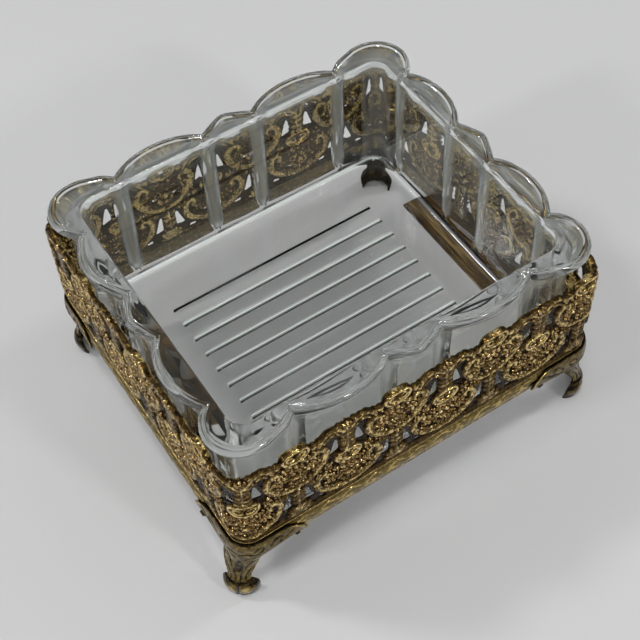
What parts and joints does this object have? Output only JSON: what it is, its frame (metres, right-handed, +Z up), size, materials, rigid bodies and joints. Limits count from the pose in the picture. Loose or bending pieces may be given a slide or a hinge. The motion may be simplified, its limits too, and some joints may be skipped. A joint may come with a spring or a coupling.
{
  "type": "glass dish in a brass filigree stand",
  "caption": "Clear pressed-glass dish with a scalloped flange and a ribbed drain floor, resting loose in a pierced brass gallery stand on cabriole feet.",
  "frame": {"origin": "on the table, under the middle of the stand", "axes": "+Z up, +X along the long front, +Y towards the back"},
  "size_m": [0.124, 0.1078, 0.0695],
  "materials": {
    "glass": "clear pressed glass, faint green cast",
    "brass": "stamped, antiqued, worn bright on the relief",
    "dark_brass": "plain sheet, tarnished brown"
  },
  "bodies": {
    "stand": {"gallery_strip": "brass", "base_band": "brass", "ledge_left": "dark_brass", "ledge_right": "dark_brass", "foot_front_left": "brass", "foot_front_right": "brass", "foot_back_right": "brass", "foot_back_left": "brass"},
    "dish": {"glass_dish": "glass"}
  },
  "joints": [
    {"name": "dish_lift", "type": "slide", "parent": "stand", "child": "dish", "axis": [0, 0, 1], "range_m": [0, 0.05]}
  ]
}
